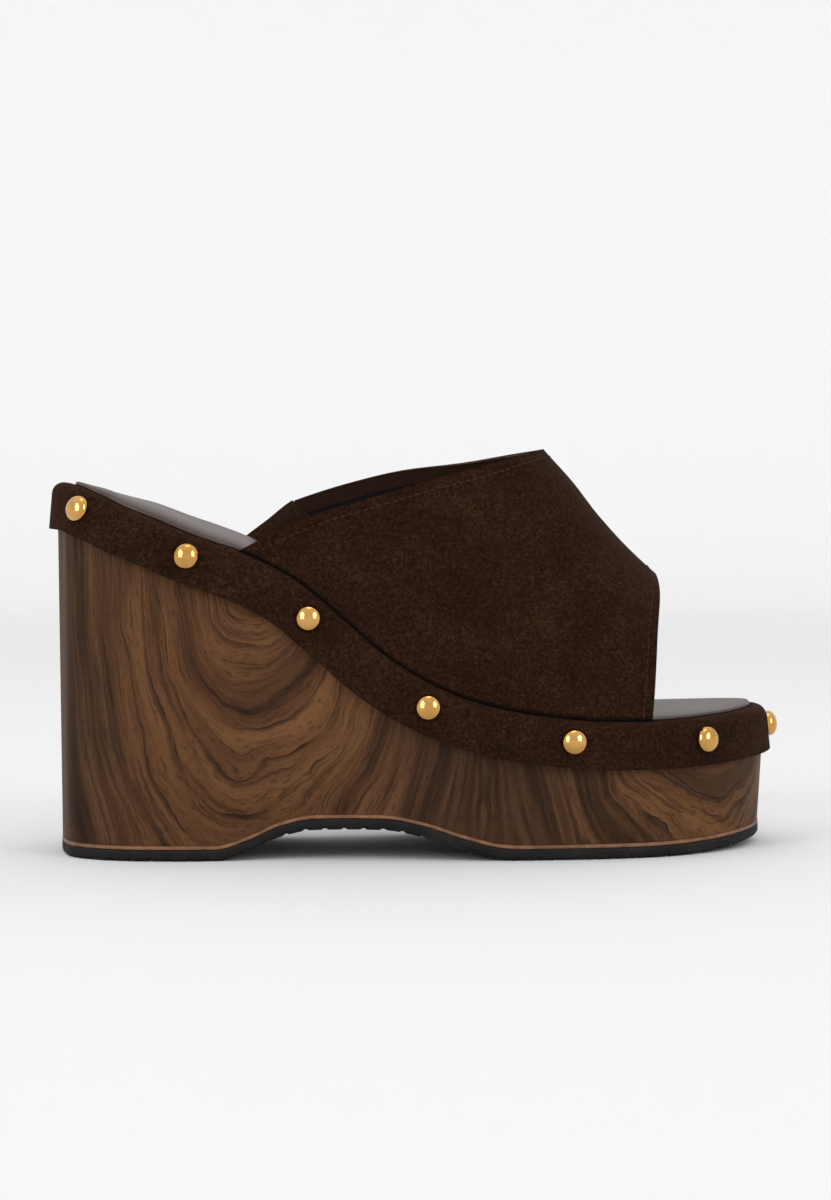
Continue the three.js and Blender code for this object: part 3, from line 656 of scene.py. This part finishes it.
def evened_topline(line, side, low):
    """A topline over its turn, with the small bumps of its height along the shoe evened out."""
    back = np.linspace(low, QUARTER, 400)
    turns = back if side < 0 else 2 * QUARTER - back
    x = SHOE_LENGTH * line(back)
    along = np.linspace(x[0], x[-1], 500)
    height = np.interp(along, x, last_place(x, turns)[:, 2])
    width = TOPLINE_SOFTNESS / (along[1] - along[0])
    reach = int(3 * width)
    weights = np.exp(-0.5 * (np.arange(-reach, reach + 1) / width) ** 2)
    ends = [2 * height[0] - height[reach:0:-1], height, 2 * height[-1] - height[-2:-reach - 2:-1]]
    height = np.convolve(np.concatenate(ends), weights / weights.sum(), mode="valid")
    over = [last_place(along, np.full(along.shape, turn))[:, 2] - height for turn in turns]
    return turns, np.array([np.interp(0, -row, along) for row in over])


lateral_line = evened_topline(lateral_topline, LATERAL, 0.0)
medial_line = evened_topline(medial_topline, MEDIAL, MEDIAL_TOPLINE["turn"][0])
topline = [np.concatenate([lateral, medial[-2::-1]]) for lateral, medial in zip(lateral_line, medial_line)]


def vamp_rear(turn):
    seam = SHOE_LENGTH * gore_seam(2 * QUARTER - turn)
    return np.where(turn > corner_turn, seam, np.interp(turn, *topline))


def vamp_front(turn):
    return SHOE_LENGTH * front_edge(np.minimum(turn, 2 * QUARTER - turn))


def wall(name, turns, rear, front, steps, outer, inner, mark=None):
    """Closed wall over a patch of the last: skin faces, then edge faces, then lining faces. Its edge map
    holds the distance from the rear edge, and the height above the slab or another mark."""
    shares = np.linspace(0, 1, steps + 1)
    start = rear(turns)[:, None]
    x = start + (front(turns)[:, None] - start) * shares
    turn = np.repeat(turns[:, None], steps + 1, axis=1)
    skin = last_point(x, turn, np.full(x.shape, outer) if np.isscalar(outer) else outer(x, turn))
    lining = last_point(x, turn, np.full(x.shape, inner) if np.isscalar(inner) else inner(x, turn))
    count = x.size
    index = np.arange(count).reshape(x.shape)
    a, b, c, d = index[:-1, :-1], index[:-1, 1:], index[1:, 1:], index[1:, :-1]
    outside = np.stack([a, b, c, d], axis=-1).reshape(-1, 4)
    inside = np.stack([a, d, c, b], axis=-1).reshape(-1, 4) + count
    rim = np.concatenate([index[0, :], index[1:, -1], index[-1, -2::-1], index[-2:0:-1, 0]])
    after = np.roll(rim, -1)
    edge = np.stack([rim, rim + count, after + count, after], axis=-1)
    faces = np.vstack([outside, edge, inside])
    piece = make_piece(name, np.vstack([skin.reshape(-1, 3), lining.reshape(-1, 3)]), faces.tolist(), 60)
    parts = np.repeat([0, 1, 2], [len(outside), len(edge), len(inside)])
    piece.data.polygons.foreach_set("material_index", parts.astype(np.int32))
    marks = mark(x, turn) if mark else skin[..., 2] - bed_height(x, bank_at(x, skin[..., 1]))
    places = np.tile(np.stack([x - start, marks], axis=-1).reshape(-1, 2) / 1000, (2, 1))
    corners = np.empty(len(piece.data.loops), np.int32)
    piece.data.loops.foreach_get("vertex_index", corners)
    piece.data.uv_layers.new(name="edge").data.foreach_set("uv", places[corners].ravel())
    return piece


TURNED_EDGE = 0.0042
BINDING_EDGE = 0.0062


def lining_finish():
    """Lining: the suede is turned over the edge, and a black tape lies between it and the lining."""
    material, tree, shader = new_material("lining", Roughness=0.9, Specular_IOR_Level=0.05)
    place = object_place(tree)
    colour = ramp(tree, noise(tree, place, 300, 3), [(0.35, srgb(66, 52, 43)), (0.65, srgb(86, 70, 59))])
    edge = add(tree, "ShaderNodeSeparateXYZ", {0: add(tree, "ShaderNodeUVMap", uv_map="edge").outputs[0]})
    turned = add(tree, "ShaderNodeMapRange", {"Value": edge.outputs[0], "From Min": TURNED_EDGE,
                                              "From Max": TURNED_EDGE + 0.0004}).outputs[0]
    binding = add(tree, "ShaderNodeMapRange", {"Value": edge.outputs[0], "From Min": BINDING_EDGE,
                                               "From Max": BINDING_EDGE + 0.0004}).outputs[0]
    colour = tint(tree, turned, srgb(44, 28, 19), tint(tree, binding, srgb(20, 19, 20), colour))
    tree.links.new(colour, shader.inputs["Base Color"])
    tree.links.new(bump(tree, noise(tree, place, 1400, 2), 0.00015, 0.5), shader.inputs["Normal"])
    return material


lining = lining_finish()
cut_suede = suede_finish("cut_suede_edge", srgb(30, 18, 13), srgb(58, 38, 29), srgb(104, 76, 60))
even = QUARTER * (1 - np.cos(np.pi * np.arange(141) / 140))
even[np.argmin(np.abs(even - corner_turn))] = corner_turn
vamp = wall("suede_vamp", even, vamp_rear, vamp_front, 90, 0.0, VAMP_WALL)
# The vamp's suede gets painted shade along its foot, in the crease against the slab.
vamp_suede = suede_finish("vamp_suede", srgb(21, 11, 6), srgb(36, 20, 11), srgb(63, 40, 26), crease_shade=0.002)
finish(vamp, vamp_suede, ["vamp"])
vamp.data.materials.append(cut_suede)
vamp.data.materials.append(lining)


# Gore. Elastic webbing sewn in between slab and vamp on the medial side, with close ribs along the seam.
GORE_WALL = 1.1
GORE_RECESS = 0.35
GORE_RIB = 0.75
GORE_HEM = 2.6
HEM_LEAN = 0.57
RIB_RELIEF = 0.14
HEM_RELIEF = 0.32
HEM_BLEND = 0.3
# Depth of relief at which the painted shade in the gore's grooves is full.
GROOVE_SHADE_DEPTH = 0.00013
SEAM_LAP = 0.5
GORE_TOPLINE = {"turn": (0, 4.0, 8.85), "at": (.263, .299, .3345)}
gore_topline = curve(GORE_TOPLINE, "at", "turn")


def elastic_finish():
    """Dark brown elastic, with painted shade darkening the grooves between its ribs."""
    material, tree, shader = new_material("ribbed_elastic", Roughness=0.85, Specular_IOR_Level=0.05,
                                          Sheen_Weight=0.06, Sheen_Roughness=0.5,
                                          Sheen_Tint=srgb(170, 130, 105))
    place = object_place(tree)
    colour = ramp(tree, noise(tree, place, 1900, 2), [(0.35, srgb(36, 22, 15)), (0.7, srgb(66, 43, 31))])
    # Painted shade: the colour darkens to near black where the ribs' relief is deepest, in the grooves
    # between them.
    relief = add(tree, "ShaderNodeUVMap", uv_map="edge").outputs[0]
    relief = add(tree, "ShaderNodeSeparateXYZ", {0: relief}).outputs[1]
    groove_shade = add(tree, "ShaderNodeMapRange", {"Value": relief, "From Min": 0.0,
                                              "From Max": GROOVE_SHADE_DEPTH}).outputs[0]
    colour = tint(tree, groove_shade, colour, srgb(12, 7, 5))
    tree.links.new(colour, shader.inputs["Base Color"])
    tree.links.new(bump(tree, noise(tree, place, 2600, 2), 0.00012, 0.6), shader.inputs["Normal"])
    return material


def gore_front(turn):
    return SHOE_LENGTH * gore_seam(2 * QUARTER - turn) + SEAM_LAP


def gore_rear(turn):
    return SHOE_LENGTH * gore_topline(2 * QUARTER - turn)


def gore_relief(x, turn):
    """Ribs follow the front seam, and stop at the smooth hem that is rolled over along the topline."""
    below = (x - gore_rear(turn)) * HEM_LEAN
    ribbed = smoothstep(below, GORE_HEM, GORE_HEM + HEM_BLEND)
    hem = np.sin(np.pi * np.clip(below / GORE_HEM, 0, 1)) ** 0.6
    ribs = np.cos(2 * np.pi * (gore_front(turn) - x) / GORE_RIB)
    return RIB_RELIEF * ribs * ribbed - HEM_RELIEF * hem


def gore_depth(x, turn):
    return GORE_RECESS + gore_relief(x, turn)


def gore_back(x, turn):
    return GORE_RECESS + GORE_WALL - gore_relief(x, turn)


gore_turns = 2 * QUARTER - GORE_TOPLINE["turn"][-1] * np.linspace(1, 0, 31)
gore = wall("elastic_gore", gore_turns, gore_rear, gore_front, 360, gore_depth, gore_back, gore_relief)
elastic = elastic_finish()
finish(gore, elastic, ["gore"])
gore.data.materials.append(elastic)
gore.data.materials.append(elastic)


# Stitching. A single row of brown thread runs round the vamp just inside its cut edges, and another in
# front of the gore's seam. The thread pulls each stitch a little way into the suede.
STITCH_PITCH = 2.4
STITCH_LENGTH = 1.9
THREAD = 0.5
TOPLINE_MARGIN = 3.2
SEAM_MARGIN = 3.0


def thread_finish():
    material, tree, shader = new_material("brown_thread", Roughness=0.8, Specular_IOR_Level=0.1)
    colour = ramp(tree, noise(tree, object_place(tree), 2500, 1), [(0.35, srgb(40, 26, 17)),
                                                                   (0.7, srgb(66, 46, 33))])
    tree.links.new(colour, shader.inputs["Base Color"])
    return material


def stitch_tree():
    """Stitches at an even pitch along a curve, each a slim capsule laid along it."""
    tree = bpy.data.node_groups.new("row_of_stitches", "GeometryNodeTree")
    sockets = {}
    for label, kind in (("Path", "Geometry"), ("Pitch", "Float"), ("Stitch length", "Float"),
                        ("Thread", "Float"), ("Finish", "Material")):
        sockets[label] = tree.interface.new_socket(label, in_out="INPUT", socket_type=f"NodeSocket{kind}")
    tree.interface.new_socket("Mesh", in_out="OUTPUT", socket_type="NodeSocketGeometry")
    given = tree.nodes.new("NodeGroupInput").outputs
    points = add(tree, "GeometryNodeCurveToPoints", {"Curve": given["Path"], "Length": given["Pitch"]},
                 mode="LENGTH")
    size = add(tree, "ShaderNodeCombineXYZ", {0: given["Thread"], 1: given["Thread"],
                                              2: given["Stitch length"]}).outputs[0]
    bead = add(tree, "GeometryNodeMeshUVSphere", {"Segments": 6, "Rings": 6, "Radius": 0.5}).outputs[0]
    turn = add(tree, "FunctionNodeAlignRotationToVector", {"Vector": points.outputs["Tangent"]}, axis="Z")
    placed = add(tree, "GeometryNodeInstanceOnPoints", {"Points": points.outputs["Points"], "Instance": bead,
                                                        "Rotation": turn.outputs[0], "Scale": size})
    real = add(tree, "GeometryNodeRealizeInstances", {0: placed.outputs[0]}).outputs[0]
    smooth = add(tree, "GeometryNodeSetShadeSmooth", {0: real}).outputs[0]
    done = add(tree, "GeometryNodeSetMaterial", {"Geometry": smooth, "Material": given["Finish"]})
    out = tree.nodes.new("NodeGroupOutput")
    tree.links.new(done.outputs[0], out.inputs[0])
    return tree, sockets


def grown(name, source, tree, sockets, values):
    """Plain mesh of what a tree makes of an object. The object is removed."""
    modifier = source.modifiers.new("grow", "NODES")
    modifier.node_group = tree
    for label, value in values.items():
        modifier[sockets[label].identifier] = value
    evaluated = source.evaluated_get(bpy.context.evaluated_depsgraph_get())
    mesh = bpy.data.meshes.new_from_object(evaluated)
    bpy.data.objects.remove(source)
    mesh.name = name
    piece = bpy.data.objects.new(name, mesh)
    bpy.context.collection.objects.link(piece)
    return piece


def inside_edge(x, turn, distance):
    """Path on the last that keeps a distance to the left of another path along it."""
    run = np.gradient(last_place(x, turn), axis=0)
    aside = np.cross(last_normal(x, turn), run)
    aside *= distance / np.linalg.norm(aside, axis=-1, keepdims=True)
    by_x = last_place(x + 0.5, turn) - last_place(x - 0.5, turn)
    by_turn = (last_place(x, np.minimum(turn + 0.2, 180)) - last_place(x, np.maximum(turn - 0.2, 0))) / 0.4
    xx, tt = np.sum(by_x * by_x, axis=-1), np.sum(by_turn * by_turn, axis=-1)
    xt = np.sum(by_x * by_turn, axis=-1)
    ax, at = np.sum(aside * by_x, axis=-1), np.sum(aside * by_turn, axis=-1)
    spread = xx * tt - xt * xt
    return x + (ax * tt - at * xt) / spread, turn + (at * xx - ax * xt) / spread


def path_object(name, points):
    line = bpy.data.curves.new(name, "CURVE")
    line.dimensions = "3D"
    spline = line.splines.new("POLY")
    spline.points.add(len(points) - 1)
    metres = (np.asarray(points) + ORIGIN) / 1000
    spline.points.foreach_set("co", np.column_stack([metres, np.ones(len(points))]).ravel())
    path = bpy.data.objects.new(name, line)
    bpy.context.collection.objects.link(path)
    return path


thread = thread_finish()
stitches, stitch_sockets = stitch_tree()
stitch_values = {"Pitch": STITCH_PITCH / 1000, "Stitch length": STITCH_LENGTH / 1000,
                 "Thread": THREAD / 1000, "Finish": thread}
top_turns = np.linspace(1.5, corner_turn - 1.8, 400)
seam_turns = np.linspace(corner_turn + 1.4, 179.2, 60)
front_turns = np.linspace(1.5, 178.5, 300)
rows = {
    "topline": inside_edge(vamp_rear(top_turns), top_turns, -TOPLINE_MARGIN),
    "gore_seam": inside_edge(vamp_rear(seam_turns), seam_turns, -SEAM_MARGIN),
    "toe_edge": inside_edge(vamp_front(front_turns), front_turns, TOPLINE_MARGIN),
}
for row_name, (row_x, row_turn) in rows.items():
    keep = (row_turn > 1.2) & (row_turn < 178.8)
    row_path = path_object(row_name, last_point(row_x[keep], row_turn[keep], -0.02))
    row = grown(f"stitches_{row_name}", row_path, stitches, stitch_sockets, stitch_values)
    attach(row, "root")


# Studs. Hollow domes of polished gold-coloured brass, tacked through the suede into the slab's side. Each
# has a narrow flat rim that presses into the nap.
STUD_DIAMETER = 8.3
STUD_HEIGHT = 3.1
STUD_RIM = 0.5
STUD_DROP = {LATERAL: 6.7, MEDIAL: 8.2}
STUDS = [(LATERAL, share) for share in (.088, .222, .374, .525, .676, .827, .975)]
STUDS += [(MEDIAL, share) for share in (.895, .751, .600, .445, .331, .167)]


def gold_finish():
    material, tree, shader = new_material("polished_gold", Metallic=1.0, Roughness=0.1)
    place = object_place(tree)
    colour = ramp(tree, noise(tree, place, 120, 2), [(0.3, srgb(192, 142, 76)), (0.7, srgb(212, 166, 98))])
    tree.links.new(colour, shader.inputs["Base Color"])
    tree.links.new(bump(tree, noise(tree, place, 500, 2), 0.00003, 0.4), shader.inputs["Normal"])
    return material


def stud_seat(side, share):
    """Middle of a stud's foot, and the way it faces."""
    stations = np.linspace(0, 1, 801)
    edge = slab_point(stations, side, 0, 0)
    run = np.concatenate([[0], np.cumsum(np.linalg.norm(np.diff(edge, axis=0), axis=1))])
    station = float(np.interp(share * run[-1], run, stations))
    drop = STUD_DROP[side]
    seat = slab_point(station, side, 0, drop)
    forward = slab_point(station + 0.005, side, 0, drop) - slab_point(station - 0.005, side, 0, drop)
    outward = -side * np.cross(forward, slab_point(station, side, 0, 0) - seat)
    outward /= np.linalg.norm(outward)
    return seat + 0.05 * outward, outward


def stud_dome():
    """One dome, its foot on the origin and its top on +Z, in metres."""
    radius = STUD_DIAMETER / 2
    profile = [(0, 0), (radius - 0.25, 0), (radius, 0.12), (radius, STUD_RIM - 0.1)]
    for t in np.linspace(0.06, 1, 13) * math.pi / 2:
        profile.append((radius * math.cos(t) * 0.985, STUD_RIM + (STUD_HEIGHT - STUD_RIM) * math.sin(t)))
    profile[-1] = (0, STUD_HEIGHT)
    mesh = bpy.data.meshes.new("stud_dome")
    shape = bmesh.new()
    corners = [shape.verts.new((r / 1000, 0, z / 1000)) for r, z in profile]
    line = [shape.edges.new(pair) for pair in zip(corners, corners[1:])]
    bmesh.ops.spin(shape, geom=corners + line, axis=(0, 0, 1), cent=(0, 0, 0), steps=40,
                   angle=2 * math.pi, use_merge=True)
    bmesh.ops.remove_doubles(shape, verts=shape.verts, dist=1e-7)
    bmesh.ops.recalc_face_normals(shape, faces=shape.faces)
    shape.to_mesh(mesh)
    shape.free()
    dome = bpy.data.objects.new("stud_dome", mesh)
    bpy.context.collection.objects.link(dome)
    return dome


def stud_tree():
    """A dome on each point, turned to face the way the point's normal does."""
    tree = bpy.data.node_groups.new("row_of_studs", "GeometryNodeTree")
    sockets = {}
    for label, kind in (("Seats", "Geometry"), ("Dome", "Object"), ("Finish", "Material")):
        sockets[label] = tree.interface.new_socket(label, in_out="INPUT", socket_type=f"NodeSocket{kind}")
    tree.interface.new_socket("Mesh", in_out="OUTPUT", socket_type="NodeSocketGeometry")
    given = tree.nodes.new("NodeGroupInput").outputs
    facing = add(tree, "GeometryNodeInputNamedAttribute", {"Name": "facing"}, data_type="FLOAT_VECTOR")
    turn = add(tree, "FunctionNodeAlignRotationToVector", {"Vector": facing.outputs[0]}, axis="Z")
    dome = add(tree, "GeometryNodeObjectInfo", {"Object": given["Dome"]}).outputs["Geometry"]
    placed = add(tree, "GeometryNodeInstanceOnPoints", {"Points": given["Seats"], "Instance": dome,
                                                        "Rotation": turn.outputs[0]})
    real = add(tree, "GeometryNodeRealizeInstances", {0: placed.outputs[0]}).outputs[0]
    done = add(tree, "GeometryNodeSetMaterial", {"Geometry": real, "Material": given["Finish"]})
    out = tree.nodes.new("NodeGroupOutput")
    tree.links.new(done.outputs[0], out.inputs[0])
    return tree, sockets


places, facings = zip(*(stud_seat(side, share) for side, share in STUDS))
seats = make_piece("stud_seats", places, [])
seats.data.attributes.new("facing", "FLOAT_VECTOR", "POINT").data.foreach_set("vector", np.ravel(facings))
dome = stud_dome()
studs_tree, stud_sockets = stud_tree()
studs = grown("gold_studs", seats, studs_tree, stud_sockets, {"Dome": dome, "Finish": gold_finish()})
bpy.data.objects.remove(dome)
studs.data.shade_smooth()
studs.data.set_sharp_from_angle(angle=math.radians(35))
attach(studs, "root")
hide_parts(*[f"stud_{i + 1:02d}" for i in range(len(STUDS))])


# Studio. A pale floor that sweeps up into the backdrop on all sides, soft boxes at both sides and above,
# two windows that only show as glints in what is glossy, and the camera low at the outer side of the shoe,
# a little behind its middle.
FLOOR_RADIUS = 2.4
SWEEP_ROUND = 1.4
WALL_TOP = 3.2
MIDDLE_RADIUS = 0.3
BEND_MARGIN = 0.2
TONE_START = 0.9
FLOOR_TONE = 0.76
WALL_TONE = 0.93
LEFT_POWER = 16.0
RIGHT_POWER = 10.0
TOP_POWER = 3.5
GLINT_POWER = 8.0
SKY_STRENGTH = 1.03
CAMERA_PLACE = (-0.0857, -0.7445, 0.1013)
CAMERA_DOWN = 0.0281
CAMERA_TURN = 0.112
CAMERA_LENS = 69.0


def sweep():
    bend = np.linspace(0, math.pi / 2, 25)
    radii = [MIDDLE_RADIUS, FLOOR_RADIUS - BEND_MARGIN, *(FLOOR_RADIUS + SWEEP_ROUND * np.sin(bend)),
             FLOOR_RADIUS + SWEEP_ROUND]
    heights = [0, 0, *(SWEEP_ROUND * (1 - np.cos(bend))), WALL_TOP]
    turns = np.linspace(0, 2 * math.pi, 97)[:-1]
    points = [(0, 0, 0)]
    for radius, height in zip(radii, heights):
        points += [(radius * math.cos(t), radius * math.sin(t), height) for t in turns]
    count = len(turns)
    faces = [(0, 1 + i, 1 + (i + 1) % count) for i in range(count)]
    for k in range(len(radii) - 1):
        for i in range(count):
            a, b = 1 + k * count + i, 1 + k * count + (i + 1) % count
            faces.append((a, a + count, b + count, b))
    mesh = bpy.data.meshes.new("backdrop")
    mesh.from_pydata(points, [], faces)
    mesh.shade_smooth()
    backdrop = bpy.data.objects.new("backdrop", mesh)
    bpy.context.collection.objects.link(backdrop)
    material, tree, shader = new_material("pale_backdrop", Roughness=0.95, Specular_IOR_Level=0.0)
    distance = add(tree, "ShaderNodeVectorMath", {0: object_place(tree)}, operation="LENGTH").outputs["Value"]
    far = add(tree, "ShaderNodeMapRange", {"Value": distance, "From Min": TONE_START,
                                           "From Max": FLOOR_RADIUS + SWEEP_ROUND},
              interpolation_type="SMOOTHSTEP").outputs[0]
    tree.links.new(ramp(tree, far, [(0.0, FLOOR_TONE), (1.0, WALL_TONE)]), shader.inputs["Base Color"])
    mesh.materials.append(material)
    return backdrop


def soft_box(name, place, aim, size, power, only_glints=False):
    light = bpy.data.lights.new(name, "AREA")
    light.shape = "RECTANGLE"
    light.size, light.size_y = size
    light.energy = power
    box = bpy.data.objects.new(name, light)
    bpy.context.collection.objects.link(box)
    box.location = place
    direction = np.array(aim, float) - np.array(place, float)
    yaw = math.atan2(direction[1], direction[0]) - math.pi / 2
    pitch = math.atan2(direction[2], math.hypot(direction[0], direction[1]))
    box.rotation_euler = (math.pi / 2 + pitch, 0, yaw)
    box.visible_diffuse = not only_glints


sweep()
soft_box("left_box", (-1.9, -1.5, 1.4), (0, 0, 0.07), (0.7, 1.2), LEFT_POWER)
soft_box("right_box", (1.8, -1.7, 1.4), (0, 0, 0.07), (0.6, 1.1), RIGHT_POWER)
soft_box("top_box", (0.1, -0.1, 1.9), (0, 0, 0), (0.9, 0.7), TOP_POWER)
soft_box("left_window", (-1.15, -1.25, 0.55), (0, 0, 0.07), (0.75, 0.95), GLINT_POWER, True)
soft_box("right_window", (1.0, -1.35, 0.6), (0, 0, 0.07), (0.6, 0.8), GLINT_POWER, True)
world = bpy.data.worlds.new("studio")
world.use_nodes = True
world.node_tree.nodes["Background"].inputs["Color"].default_value = (1, 1, 1, 1)
world.node_tree.nodes["Background"].inputs["Strength"].default_value = SKY_STRENGTH
bpy.context.scene.world = world
bpy.context.scene.view_settings.view_transform = "Standard"

lens = bpy.data.cameras.new("camera")
lens.lens = CAMERA_LENS
lens.sensor_width = 36.0
lens.clip_start = 0.01
camera = bpy.data.objects.new("camera", lens)
bpy.context.collection.objects.link(camera)
camera.location = CAMERA_PLACE
camera.rotation_euler = (math.pi / 2 - CAMERA_DOWN, 0, -CAMERA_TURN)
bpy.context.scene.camera = camera
